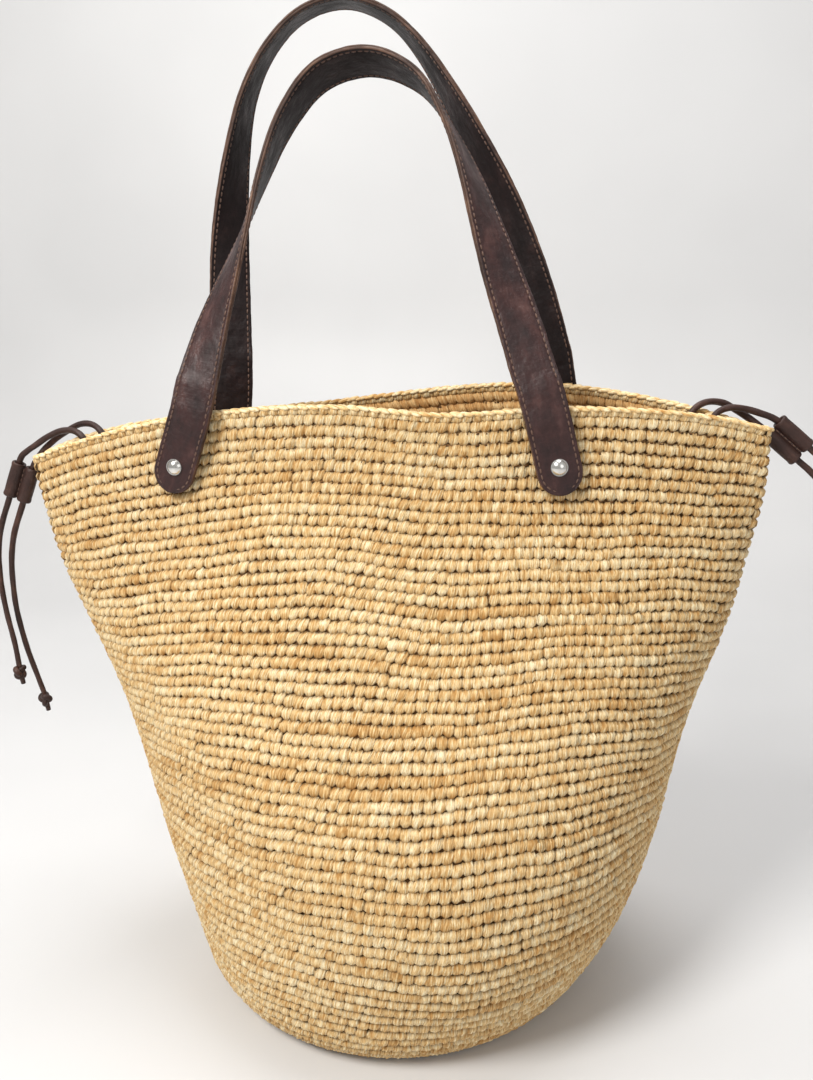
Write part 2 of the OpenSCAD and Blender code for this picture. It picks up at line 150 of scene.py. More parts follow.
def unevenness(t, u):
    total = 0
    for turns, rise, phase, depth in DENTS:
        total = total + depth * np.sin(np.radians(turns * t) + 2 * np.pi * rise * u + phase)
    return total * np.clip(u / 0.1, 0, 1) * np.clip((0.97 - u) / 0.2, 0.12, 1)


def wall(t, u, d):
    """Points in the wall, in millimetres."""
    t, u, d = np.broadcast_arrays(np.asarray(t, float), np.asarray(u, float), np.asarray(d, float))
    x, y = section(t, u)
    px, py = section(t + 1.5, u)
    qx, qy = section(t - 1.5, u)
    ex, ey = px - qx, py - qy
    n = np.hypot(ex, ey)
    out = FABRIC_T - d + unevenness(t, u)
    z = u * (WALL_TOP - rim_drop(t))
    return np.stack([x + out * ey / n, y - out * ex / n, z], -1)


def unit(v):
    return v / np.linalg.norm(v, axis=-1, keepdims=True)


def wall_frame(t, u, d):
    """Centre, direction round the bag, direction up it, and outward direction."""
    along = unit(wall(t + 0.4, u, d) - wall(t - 0.4, u, d))
    up = wall(t, u + 0.004, d) - wall(t, u - 0.004, d)
    out = unit(np.cross(along, up))
    return wall(t, u, d), along, np.cross(out, along), out


def run_along(p):
    """Distance along a line of points, from its first one."""
    return np.concatenate([[0], np.cumsum(np.linalg.norm(np.diff(p, axis=0), axis=1))])


def ring_table(u, d, samples=1440):
    """Angles and arc lengths round one level, from the middle of the back."""
    t = np.linspace(90, 450, samples + 1)
    return t, run_along(wall(t, u, d))


def round_heights():
    """Shares of the height of the edges between rounds, even along the front of the bag."""
    u = np.linspace(0.004, 1, 2000)
    arc = run_along(wall(-90.0, u, 0.0))
    return np.interp(np.linspace(0, arc[-1], ROUNDS + 1), arc, u)


# ---- meshes ----
def stacked(*parts):
    """Three arrays broadcast together into one list of points."""
    return np.stack(np.broadcast_arrays(*parts), -1).reshape(-1, 3)


def new_mesh(name, verts, quads, attributes=()):
    """An object from points in millimetres and four-cornered faces."""
    mesh = bpy.data.meshes.new(name)
    verts = np.asarray(verts, float).reshape(-1, 3) * MM
    quads = np.asarray(quads, np.int32).reshape(-1, 4)
    mesh.vertices.add(len(verts))
    mesh.vertices.foreach_set("co", verts.astype(np.float32).ravel())
    mesh.loops.add(quads.size)
    mesh.loops.foreach_set("vertex_index", quads.ravel())
    mesh.polygons.add(len(quads))
    mesh.polygons.foreach_set("loop_start", np.arange(0, quads.size, 4, dtype=np.int32))
    mesh.update(calc_edges=True)
    mesh.polygons.foreach_set("use_smooth", np.full(len(quads), True))
    for key, values in attributes:
        values = np.asarray(values, np.float32)
        kind = "FLOAT_VECTOR" if values.ndim == 2 else "FLOAT"
        layer = mesh.attributes.new(key, kind, "POINT")
        layer.data.foreach_set("vector" if values.ndim == 2 else "value", values.ravel())
    mesh.update()
    return add_object(name, mesh)


def grid_quads(rows, cols, close_rows=False, close_cols=True):
    i = np.arange(rows if close_rows else rows - 1)
    j = np.arange(cols if close_cols else cols - 1)
    i, j = np.meshgrid(i, j, indexing="ij")
    a, b = i * cols + j, i * cols + (j + 1) % cols
    down = ((i + 1) % rows) * cols
    return np.stack([a, b, down + (j + 1) % cols, down + j], -1).reshape(-1, 4)


def cap_quads(n, start):
    """Four-cornered faces over a ring with an even number of points."""
    return [[start, start + k, start + k + 1, start + k + 2] for k in range(1, n - 2, 2)]


def many(template_quads, size, count):
    """The same faces repeated for count copies of a template with size points."""
    base = np.arange(count)[:, None, None] * size
    return (np.asarray(template_quads)[None] + base).reshape(-1, 4)


def closed_tube_quads(rings, sides):
    quads = grid_quads(rings, sides).tolist()
    quads += [q[::-1] for q in cap_quads(sides, 0)]
    quads += cap_quads(sides, (rings - 1) * sides)
    return np.array(quads)


def capsules(centre, axis, side, up, length, wide, thick, rings=5, sides=6):
    """Rounded strands: one closed capsule for each centre, in millimetres."""
    s = np.linspace(-1, 1, rings)
    reach = np.sign(s) * np.abs(s) ** 0.85
    radius = np.sqrt(np.maximum(0.06, 1 - np.abs(s) ** 2.6))
    a = np.arange(sides) * 2 * np.pi / sides + np.pi / sides
    each = (len(centre), 1, 1)
    sizes = (np.asarray(v, float).reshape(-1, 1, 1) for v in (length, wide, thick))
    length, wide, thick = (np.broadcast_to(v, each) for v in sizes)
    ring, reach = radius[None, :, None], reach[None, :, None]
    verts = centre[:, None, None] + axis[:, None, None] * (reach * length / 2)[..., None] \
        + side[:, None, None] * (ring * np.cos(a) * wide)[..., None] \
        + up[:, None, None] * (ring * np.sin(a) * thick)[..., None]
    quads = many(closed_tube_quads(rings, sides), rings * sides, len(centre))
    ids = np.arange(len(centre)).reshape(each) * 3.7
    return verts.reshape(-1, 3), quads, stacked(np.cos(a) * wide, reach * length / 2, ids)


# one stitch, bottom to top: (height, half width, crest depth, painted shade, low at its foot and top where
# the rounds meet)
PUFF_RINGS = [(-0.62, 0.22, -2.2, 0.10), (-0.47, 0.38, -0.50, 0.55), (-0.18, 0.60, 0.90, 1.0),
              (0.26, 0.66, 1.0, 1.0), (0.58, 0.60, -1.0, 0.50)]
# round its front, three strands with grooves between them: (across, depth, extra height at the top)
PUFF_FRONT = [(-1, -1.35, -0.12), (-0.62, -0.28, 0.02), (-0.31, -0.36, -0.06), (0, 0.08, 0.06),
              (0.31, -0.36, -0.06), (0.62, -0.28, 0.02), (1, -1.35, -0.12), (0, -2.6, 0)]
PUFF_SIZE = len(PUFF_RINGS) * len(PUFF_FRONT)


def puffs(centre, along, up, out, width, height, lean, swell, hole):
    """Closed single-crochet stitches, each a few strands pulled into one puff. hole is how far
    the foot of a stitch is drawn together, which opens a hole beside it."""
    profile, rings = np.array(PUFF_FRONT), np.array(PUFF_RINGS)
    n, k = len(centre), len(profile)
    drawn = 1 - hole[:, None] * np.array([0.4, 1.0, 0.12, 0, 0])
    half = rings[None, :, 1] * drawn
    strand = rng.normal(0, 1, (n, 1, k)) * np.array([0.02] + [0.07] * (k - 3) + [0.02, 0])
    across = (profile[None, None, :, 0] + strand) * half[:, :, None]
    crown = np.clip(rings[:, 0] - 0.1, 0, 1) / 0.47
    tufts = profile[None, None, :, 2] + rng.normal(0, 0.05, (n, 1, k))
    rise = rings[None, :, 0, None] + tufts * crown[None, :, None]
    relief = rng.normal(0, 0.17, (n, 1, k)) * np.array([0] + [1] * (k - 3) + [0, 0])
    fullness = 0.4 + 0.6 * rings[None, :, 3, None]
    depth = rings[None, :, 2, None] + (profile[None, None, :, 1] + relief) * fullness
    a = across * width[:, None, None] + rise * lean[:, None, None]
    b = rise * height[:, None, None]
    c = depth * swell[:, None, None]
    verts = centre[:, None, None] + a[..., None] * along[:, None, None] \
        + b[..., None] * up[:, None, None] + c[..., None] * out[:, None, None]
    quads = many(closed_tube_quads(len(rings), k), PUFF_SIZE, n)
    ids = np.arange(n)[:, None, None] * 2.3
    grain = stacked(across * width[:, None, None], b, ids)
    # painted shade in the grooves between the strands, on top of each ring's painted shade
    groove_shade = np.clip(1 + 0.9 * (profile[:, 1] + 0.1), 0.35, 1)
    painted_shade = np.broadcast_to(rings[None, :, 3, None] * groove_shade[None, None], a.shape)
    return verts.reshape(-1, 3), quads, grain, painted_shade.reshape(-1)


def strand_tones(count, run=14):
    """Colour of each stitch along the work: each raffia strand lasts for a run of stitches."""
    knots = rng.normal(0, 1, count // run + 3)
    where = np.arange(count) / run
    k = where.astype(int)
    slow = knots[k] * (1 - (where - k)) + knots[k + 1] * (where - k)
    return np.clip(0.5 + 0.10 * slow + rng.normal(0, 0.08, count), 0, 1)


# ---- materials ----
def new_material(name):
    mat = bpy.data.materials.new(name)
    mat.use_nodes = True
    tree = mat.node_tree
    return mat, tree, tree.nodes["Principled BSDF"]


def node(tree, kind, **inputs):
    n = tree.nodes.new(kind)
    for key, value in inputs.items():
        if key in ("operation", "attribute_name", "feature"):
            setattr(n, key, value)
        else:
            slot = n.inputs[int(key[1:])] if key[0] == "i" and key[1:].isdigit() else n.inputs[key]
            if isinstance(value, bpy.types.NodeSocket):
                tree.links.new(value, slot)
            else:
                slot.default_value = value
    return n


def attribute(tree, name):
    return node(tree, "ShaderNodeAttribute", attribute_name=name)


def maths(tree, operation, a, b):
    return node(tree, "ShaderNodeMath", operation=operation, i0=a, i1=b).outputs[0]


def stretched(tree, vector, scale):
    return node(tree, "ShaderNodeVectorMath", operation="MULTIPLY", i0=vector, i1=scale).outputs[0]


def noise(tree, vector, scale, detail=3.0, rough=0.55):
    n = node(tree, "ShaderNodeTexNoise", Vector=vector, Scale=scale, Detail=detail, Roughness=rough)
    return n.outputs["Fac"]


def pebbles(tree, vector, scale):
    cells = node(tree, "ShaderNodeTexVoronoi", feature="DISTANCE_TO_EDGE", Vector=vector, Scale=scale)
    return cells.outputs[0]


def ramp(tree, fac, stops):
    n = tree.nodes.new("ShaderNodeValToRGB")
    tree.links.new(fac, n.inputs[0])
    while len(n.color_ramp.elements) < len(stops):
        n.color_ramp.elements.new(0.5)
    for e, (at, colour) in zip(n.color_ramp.elements, stops):
        e.position = at
        e.color = (*colour, 1) if hasattr(colour, "__len__") else (colour, colour, colour, 1)
    return n.outputs[0]


def mixed(tree, fac, a, b):
    n = tree.nodes.new("ShaderNodeMix")
    n.data_type = "RGBA"
    for slot, value in ((n.inputs[0], fac), (n.inputs[6], a), (n.inputs[7], b)):
        if isinstance(value, bpy.types.NodeSocket):
            tree.links.new(value, slot)
        else:
            slot.default_value = value if not hasattr(value, "__len__") or len(value) == 4 else (*value, 1)
    return n.outputs[2]


def bump(tree, bsdf, height, strength, distance):
    b = node(tree, "ShaderNodeBump", Strength=strength, Distance=distance, Height=height)
    tree.links.new(b.outputs[0], bsdf.inputs["Normal"])


def surface(tree, bsdf, colour, roughness):
    tree.links.new(colour, bsdf.inputs["Base Color"])
    tree.links.new(roughness, bsdf.inputs["Roughness"])


def raffia(name, dark, mid, light, deep_and_shade):
    """Dry raffia: strands of slightly different straw, fine fibres along each stitch, with shade painted deep
    between the stitches and in their grooves.
    """
    mat, tree, bsdf = new_material(name)
    grain = attribute(tree, "grain").outputs["Vector"]
    tone = attribute(tree, "tone").outputs["Fac"]
    painted_shade = attribute(tree, "painted_shade").outputs["Fac"]
    fibres = noise(tree, stretched(tree, grain, (2.6, 0.35, 1.0)), 1.0, 3.0, 0.6)
    strips = noise(tree, stretched(tree, grain, (1.1, 0.14, 1.0)), 1.0, 1.0, 0.5)
    blotch = noise(tree, stretched(tree, grain, (0.25, 0.25, 0.61)), 1.0, 2.0, 0.5)
    patches = maths(tree, "MULTIPLY", maths(tree, "SUBTRACT", blotch, 0.5), 0.45)
    slips = maths(tree, "MULTIPLY", maths(tree, "SUBTRACT", strips, 0.5), 1.9)
    mixed_tone = maths(tree, "ADD", tone, maths(tree, "ADD", patches, slips))
    base = ramp(tree, mixed_tone, [(0.05, dark), (0.45, mid), (0.9, light)])
    lines = maths(tree, "MULTIPLY", ramp(tree, fibres, [(0.38, 1.0), (0.54, 0.0)]), 0.6)
    lined = mixed(tree, lines, base, dark)
    # painted shade: the colour darkens toward the deep colour where stitches meet and in their grooves
    shaded = mixed(tree, ramp(tree, painted_shade, [(0.1, 0.95), (0.5, 0.35), (0.95, 0.0)]), lined, deep_and_shade)
    surface(tree, bsdf, shaded, ramp(tree, fibres, [(0.3, 0.85), (0.7, 0.62)]))
    bsdf.inputs["Specular IOR Level"].default_value = 0.3
    bump(tree, bsdf, maths(tree, "ADD", fibres, maths(tree, "MULTIPLY", strips, 1.5)), 0.9, 0.0006)
    return mat


def leather(name, dark, mid, light, gloss, cell=1.35, shine=0.34):
    """Smooth-tanned leather: fine pebble grain, creases across the strap, rubbed patches."""
    mat, tree, bsdf = new_material(name)
    grain = attribute(tree, "grain").outputs["Vector"]
    pebble = pebbles(tree, grain, cell)
    fine = noise(tree, grain, 3.2, 3.0, 0.6)
    across = noise(tree, stretched(tree, grain, (0.10, 1.1, 1.0)), 1.0, 4.0, 0.65)
    cloud = noise(tree, stretched(tree, grain, (0.09, 0.045, 1.0)), 1.0, 3.0, 0.6)
    dents = noise(tree, stretched(tree, grain, (0.14, 0.10, 1.0)), 1.0, 2.0, 0.55)
    base = ramp(tree, cloud, [(0.32, dark), (0.55, mid), (0.78, light)])
    rubbed = ramp(tree, maths(tree, "MULTIPLY", across, fine), [(0.30, 0.0), (0.42, 1.0)])
    colour = mixed(tree, maths(tree, "MULTIPLY", rubbed, 0.35), base, light)
    polish = maths(tree, "ADD", maths(tree, "MULTIPLY", fine, 0.3), maths(tree, "MULTIPLY", cloud, 0.7))
    surface(tree, bsdf, colour, ramp(tree, polish, [(0.35, gloss + 0.22), (0.62, gloss - 0.06)]))
    bsdf.inputs["Specular IOR Level"].default_value = shine
    bsdf.inputs["Coat Weight"].default_value = 0.06
    bsdf.inputs["Coat Roughness"].default_value = 0.3
    pits = ramp(tree, pebble, [(0.0, 0.0), (0.16, 1.0)])
    height = maths(tree, "ADD", maths(tree, "MULTIPLY", pits, 0.25), maths(tree, "MULTIPLY", across, 1.0))
    bump(tree, bsdf, maths(tree, "ADD", height, maths(tree, "MULTIPLY", dents, 9.0)), 0.55, 0.0003)
    return mat


def thread_material():
    mat, tree, bsdf = new_material("waxed_thread")
    grain = attribute(tree, "grain").outputs["Vector"]
    twist = node(tree, "ShaderNodeTexWave", Vector=stretched(tree, grain, (1.6, 1.9, 0.0)), Scale=1.0,
                 Distortion=0.6).outputs["Fac"]
    tone = noise(tree, stretched(tree, grain, (0.1, 0.1, 0.9)), 1.0)
    base = ramp(tree, tone, [(0.35, (0.085, 0.042, 0.03)), (0.7, (0.17, 0.095, 0.065))])
    colour = mixed(tree, maths(tree, "MULTIPLY", twist, 0.4), base, (0.19, 0.11, 0.08))
    surface(tree, bsdf, colour, ramp(tree, twist, [(0.0, 0.62), (1.0, 0.45)]))
    bump(tree, bsdf, twist, 0.5, 0.0002)
    return mat


def nickel_material():
    mat, tree, bsdf = new_material("nickel")
    where = node(tree, "ShaderNodeTexCoord").outputs["Object"]
    marks = noise(tree, where, 900.0, 4.0, 0.7)
    haze = noise(tree, where, 160.0, 2.0, 0.5)
    colour = ramp(tree, haze, [(0.3, (0.62, 0.60, 0.57)), (0.7, (0.80, 0.79, 0.76))])
    surface(tree, bsdf, colour, ramp(tree, marks, [(0.35, 0.14), (0.75, 0.30)]))
    bsdf.inputs["Metallic"].default_value = 1.0
    bump(tree, bsdf, marks, 0.08, 0.0001)
    return mat


# colour painted deep between the stitches: mostly painted shade, partly the raffia's own darker colour there
DEEP_RAFFIA_AND_SHADE = (0.09, 0.032, 0.006)     # deep between the stitches
RAFFIA = raffia("raffia", (0.52, 0.27, 0.08), (0.83, 0.59, 0.28), (0.97, 0.84, 0.55), DEEP_RAFFIA_AND_SHADE)
RAFFIA_IN = raffia("raffia_inside", (0.56, 0.28, 0.09), (0.80, 0.50, 0.21), (0.94, 0.71, 0.38), DEEP_RAFFIA_AND_SHADE)
STRAP = leather("strap_leather", (0.016, 0.006, 0.006), (0.036, 0.013, 0.012), (0.100, 0.046, 0.040), 0.38)
LINING = leather("lining_leather", (0.008, 0.004, 0.004), (0.014, 0.007, 0.007), (0.035, 0.018, 0.016), 0.44,
                 shine=0.2)
EDGE = leather("edge_paint", (0.030, 0.014, 0.010), (0.085, 0.040, 0.024), (0.20, 0.105, 0.06), 0.45, 2.4)
LACE = leather("lace_leather", (0.022, 0.009, 0.007), (0.042, 0.017, 0.012), (0.11, 0.050, 0.034), 0.40, 2.2)
THREAD = thread_material()
NICKEL = nickel_material()


def dress(obj, *mats):
    obj.data.materials.clear()
    for m in mats:
        obj.data.materials.append(m)
    return obj


def fit(obj, mat, body, slot, *cad):
    """Dress a piece that rides on a body, in place of the CAD nodes it stands for."""
    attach(dress(obj, mat), body)
    if cad:
        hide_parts(*cad)


# ---- drawstrings ----
def spline_path(route, steps):
    """The CAD model's smooth curve through a route's points."""
    p = np.array(route, float)
    last = len(p) - 1
    out = []
    for i in range(last):
        a, b, c, d = p[max(i - 1, 0)], p[i], p[i + 1], p[min(i + 2, last)]
        for j in range(steps):
            s = j / steps
            bend = 2 * a - 5 * b + 4 * c - d
            out.append(b + s / 2 * ((c - a) + s * (bend + s * (3 * b - 3 * c + d - a))))
    return np.array(out + [p[-1]])


LACES = {
    "left_lace_outer_end": [
        (-205, 5, 354), (-207, 5.5, 363.5), (-210.8, 5.8, 372.2), (-218, 8.6, 376), (-228, 11.5, 375.6),
        (-239, 12.5, 371.3), (-250, 13.5, 364.5), (-257, 14, 360), (-262, 14, 355), (-268, 14, 340),
        (-274, 14, 325), (-282, 14, 305), (-286, 13.5, 286), (-286.5, 13, 263), (-284, 12, 240),
        (-280, 11.5, 216), (-278, 11, 197)],
    "left_lace_inner_end": [
        (-192, 8, 354), (-194, 8, 365), (-197.8, 8.3, 375.2), (-206, 12.3, 380.2), (-217, 16.5, 379.6),
        (-228, 18, 374.2), (-238, 17.5, 367.5), (-246, 15.5, 360), (-252.5, 14, 350.5),
        (-258.5, 14, 335.5), (-264.5, 14, 320.5), (-272.5, 14, 300.5), (-277.5, 15.5, 281),
        (-280, 18, 260), (-280, 19.5, 238), (-275.5, 20, 210), (-269, 20, 186), (-265, 20, 172)],
    "left_lace_loop": [
        (-205, 5, 354), (-204, 9, 345), (-198.5, 15.5, 340), (-193, 11, 345), (-192, 8, 354)],
    "right_lace_outer_end": [
        (205, 5, 374), (207, 5.5, 384.5), (210.8, 5.8, 394.3), (218.5, 8.6, 398.5), (229, 11.5, 398),
        (240, 13, 395), (250, 14, 391), (262, 14, 382), (274, 14, 372), (284, 14, 363.5),
        (293, 14, 354), (300.5, 14, 341), (305, 13.5, 321), (307.5, 13, 299), (308.5, 12.5, 276),
        (309, 12, 254)],
    "right_lace_inner_end": [
        (192, 8, 374), (193.5, 8, 385.5), (197.4, 8.3, 396.6), (206, 12.3, 401.6), (217, 16.5, 400.8),
        (227, 17.5, 395.6), (236, 16, 390), (244, 14, 384), (256, 14, 373.5), (268, 14, 363.5),
        (274, 14, 358.5), (282, 15, 350), (289.5, 17, 336.5), (294, 19, 318), (297, 20.5, 296),
        (298.5, 21, 272), (299, 21, 249), (299, 21, 231)],
    "right_lace_loop": [
        (205, 5, 374), (204, 9, 365), (198.5, 15.5, 360), (193, 11, 365), (192, 8, 374)],
}
LACE_D, KNOT_D = 4.4, 11.0
SLIDERS = {"left": ((-263.1, 14, 338), math.atan(0.4)), "right": ((258.6, 14, 378), -math.atan(1.2))}


def level_sides(path):
    """Two directions square to a path, the first one level."""
    t = unit(np.gradient(path, axis=0))
    side = unit(np.cross(t, np.broadcast_to([0.0, 1.0, 0.0], t.shape)))
    return side, np.cross(t, side)


def round_rings(path, side, other, a, r):
    """Rings of radius r round a path, with a point at each of the angles a."""
    turn = np.cos(a)[None, :, None] * side[:, None] + np.sin(a)[None, :, None] * other[:, None]
    return path[:, None] + np.asarray(r)[..., None] * turn


def tube(name, path, radii, seed, sides=12):
    """A closed tube along a path in millimetres, a little uneven like a cut thong."""
    run = run_along(path)
    a = np.arange(sides) * 2 * np.pi / sides
    swell = 0.03 * np.sin(run[:, None] * 0.35 + seed)
    twist = 0.025 * np.sin(2 * a[None] + run[:, None] * 0.06 + seed)
    r = np.broadcast_to(radii, (len(path),))[:, None] * (1 + swell + twist)
    verts = round_rings(path, *level_sides(path), a, r)
    grain = stacked(a[None] * LACE_D / 2, run[:, None], np.float64(seed * 7))
    return new_mesh(name, verts, closed_tube_quads(len(path), sides)[:, ::-1], [("grain", grain)])


KNOT_SIZE, KNOT_STRAND_R = 1.36, 2.15
KNOT_POINTS, KNOT_SIDES = 72, 10
KNOT_GRIP = 2           # how far the end of a lace lies inside its knot
# the cut end below the knot, from the knot's middle: (x, y, z, radius)
TAIL = np.array([(0.6, 0, -2.5, 1.9), (0.9, 0.2, -5, 1.85), (1.3, 0.4, -7.5, 1.8), (1.5, 0.5, -9.4, 1.7)])


def overhand_knot(name, end, seed):
    """A pulled-up overhand knot with a short cut tail, hanging on the end of a lace."""
    a = np.linspace(0, 2 * np.pi, KNOT_POINTS + 1)[:-1]
    curve = np.stack([np.sin(a) + 2 * np.sin(2 * a), 1.25 * np.sin(3 * a), np.cos(a) - 2 * np.cos(2 * a)], -1)
    centre = np.array(end, float) - [0, 0, KNOT_D / 2 - KNOT_GRIP]
    curve = curve * KNOT_SIZE @ rot("z", math.degrees(seed * 1.3)).T + centre
    t = unit(np.roll(curve, -1, 0) - np.roll(curve, 1, 0))
    side = unit(np.cross(t, unit(curve - centre)))
    b = np.arange(KNOT_SIDES) * 2 * np.pi / KNOT_SIDES
    verts = round_rings(curve, side, np.cross(t, side), b, KNOT_STRAND_R).reshape(-1, 3)
    quads = grid_quads(KNOT_POINTS, KNOT_SIDES, close_rows=True)[:, ::-1]
    tail_path = centre + TAIL[:, :3]
    tail = round_rings(tail_path, *level_sides(tail_path), b, TAIL[:, 3:]).reshape(-1, 3)
    tail_quads = closed_tube_quads(len(TAIL), KNOT_SIDES)[:, ::-1] + len(verts)
    across = b[None] * KNOT_STRAND_R
    grain = stacked(across, np.arange(KNOT_POINTS)[:, None] * 0.6, np.float64(seed))
    tail_grain = stacked(across, 50 + np.arange(len(TAIL))[:, None] * 2.0, np.float64(seed))
    return new_mesh(name, np.concatenate([verts, tail]), np.concatenate([quads, tail_quads]),
                    [("grain", np.concatenate([grain, tail_grain]))])


def make_laces():
    for k, (name, route) in enumerate(LACES.items()):
        side = name.split("_")[0]
        path = spline_path(route, 8)
        if name.endswith("loop"):
            piece = tube(name + "_thong", path, LACE_D / 2, float(k))
            fit(piece, LACE, "bag", "lace_leather", name)
            continue
        end = name.split("_")[2]
        slim = np.interp(np.linspace(0, 1, len(path)), [0, 0.55, 1], [1.0, 1.0, 0.86])
        piece = tube(name + "_thong", path, LACE_D / 2 * slim, float(k))
        knot = overhand_knot(f"{side}_{end}_overhand", route[-1], 1.0 + k)
        fit(piece, LACE, "bag", "lace_leather", name)
        fit(knot, LACE, "bag", "lace_leather", f"{side}_{end}_knot")


SLIDER_L, BORE_R, BORE_APART = 26.0, 2.8, 5.25
RIM_R = 4.95            # the rolled rim at each end of a tube
# the web's section: (x, y)
WEB = np.array([(-4, -1.9), (-1.4, -1.25), (1.4, -1.25), (4, -1.9),
                (4, 1.9), (1.4, 1.25), (-1.4, 1.25), (-4, 1.9)])


def slider_section():
    """Heights and radii once round a tube's wall: outside, upper rim, bore and lower rim."""
    h = SLIDER_L / 2
    outside = [(-h + 0.9, RIM_R), (-h + 2.2, RIM_R), (-h + 3.4, 4.72), (-h / 2, 4.8), (0, 4.85),
               (h / 2, 4.8), (h - 3.4, 4.72), (h - 2.2, RIM_R), (h - 0.9, RIM_R)]
    upper_rim = [(h - 0.2, 4.6), (h, 3.9), (h - 0.3, 3.2)]
    bore = [(h - 1.2, BORE_R), (0, BORE_R), (-h + 1.2, BORE_R)]
    lower_rim = [(-h + 0.3, 3.2), (-h, 3.9), (-h + 0.2, 4.6)]
    return np.array(outside + upper_rim + bore + lower_rim).T


def make_slider(side):
    """Two leather tubes with rolled rims, sewn together along a flat web."""
    at, tilt = SLIDERS[side]
    h = SLIDER_L / 2
    z, r = slider_section()
    n = 32
    a = np.arange(n) * 2 * np.pi / n
    squeeze = 1 + 0.02 * np.cos(2 * a)
    verts, quads, grain = [], [], []
    for k, s in enumerate((-1, 1)):
        x = s * BORE_APART + r[:, None] * np.cos(a)[None] * squeeze[None]
        verts.append(stacked(x, r[:, None] * np.sin(a)[None] * 0.97, z[:, None]))
        quads.append(grid_quads(len(z), n, close_rows=True) + k * n * len(z))
        grain.append(stacked(a[None] * 5, (z + 0.4 * np.arange(len(z)))[:, None], np.float64(3 + s)))
    web_z = np.linspace(-h + 1.5, h - 1.5, 9)
    web = stacked(WEB[None, :, 0], WEB[None, :, 1], web_z[:, None])
    verts.append(web)
    quads.append(closed_tube_quads(len(web_z), len(WEB)) + 2 * n * len(z))
    grain.append(web + [0, 0, 40])
    m = rot("y", math.degrees(tilt))
    place = lambda q: q @ m.T + at
    body = new_mesh(f"{side}_slider_tubes", place(np.concatenate(verts)), np.concatenate(quads),
                    [("grain", np.concatenate(grain))])
    fit(body, LACE, f"{side}_slider", "lace_leather", f"{side}_slider")
    seam_at = np.array([(0, y, zz) for y in (-1.35, 1.35) for zz in np.arange(-h + 4, h - 3, 3.6)])
    ex, ey, ez = (np.tile(v, (len(seam_at), 1)) for v in m.T)
    v, q, g = capsules(place(seam_at), ez, ex, ey, 2.6, 0.42, 0.4)
    seam = new_mesh(f"{side}_slider_thread", v, q, [("grain", g)])
    fit(seam, THREAD, f"{side}_slider", "thread")


for slider_side in SLIDERS:
    make_slider(slider_side)
make_laces()


# ---- crochet ----
def drift(t, u):
    """How far the rounds wander up and down, as a share of the height."""
    free = np.clip((1 - u) / 0.15, 0, 1) * np.clip(u / 0.08, 0, 1)
    wander = 0.0040 * np.sin(np.radians(3 * t) + 7 * u + 1.0) + 0.0028 * np.sin(np.radians(5 * t) - 11 * u) \
        + 0.0016 * np.sin(np.radians(11 * t) + 17 * u + 2.0) + 0.0009 * np.sin(np.radians(23 * t) - 29 * u)
    return free * wander


def looseness(t, u):
    """From 0, tight, to 1, loose: the work is tighter on the left than on the right."""
    patch = 0.18 * np.sin(np.radians(4 * t) + 5 * u + 0.6) + 0.12 * np.sin(np.radians(9 * t) - 9 * u)
    return np.clip(0.5 + 0.38 * cosd(t) + patch, 0, 1)


def stitch_round(u_low, u_high, d, count, shift, facing=1):
    """One round of puffs between two heights; shift moves it round by a share of a stitch."""
    u_mid = (u_low + u_high) / 2
    t_tab, arc = ring_table(u_mid, d)
    place = np.arange(count) + shift + rng.normal(0, 0.03, count)
    where = (place + 0.08 * np.sin(place / count * 2 * np.pi * 23 + shift * 40)) / count % 1
    t = np.interp(where * arc[-1], arc, t_tab)
    u = np.clip(u_mid + drift(t, u_mid) + rng.normal(0, 0.0007, count), 0.004, 1)
    centre, along, up, out = wall_frame(t, u, d)
    span = (u_high - u_low) / 2
    height = np.linalg.norm(wall(t, np.clip(u + span, 0, 1), d) - wall(t, u - span, d), axis=1)
    height = height * (u_high - u_low) / (np.clip(u + span, 0, 1) - u + span)
    loose = looseness(t, u_mid)
    width = arc[-1] / count * (1.03 + rng.normal(0, 0.03, count))
    if facing < 0:
        out, along = -out, -along
    sway = height * (0.34 - 0.30 * loose + rng.normal(0, 0.07, count)) * facing
    swell = 0.92 + 0.16 * loose + rng.normal(0, 0.08, count)
    hole = np.clip(0.05 + 0.34 * loose + rng.normal(0, 0.14, count), 0, 0.6)
    return puffs(centre, along, up, out, width, height, sway, swell, hole)


def joined(parts):
    """Several meshes in one: points, faces, and what each point carries."""
    verts, quads, *rest = zip(*parts)
    starts = np.cumsum([0] + [len(v) for v in verts[:-1]])
    quads = [q + start for q, start in zip(quads, starts)]
    return [np.concatenate(column) for column in (verts, quads, *rest)]


def crochet_piece(name, verts, quads, grain, painted_shade, tone, mat, *cad):
    obj = new_mesh(name, verts, quads, [("grain", grain), ("painted_shade", painted_shade), ("tone", tone)])
    fit(obj, mat, "bag", "raffia", *cad)


CREST_DEPTH = 1.3       # from the outside of the cloth down to the middle of a stitch
BANDS = 5
MAX_ROUND = 158         # stitches in a round above the belly
ROUND_SHIFT = 0.12      # how far each round of stitches starts after the one below


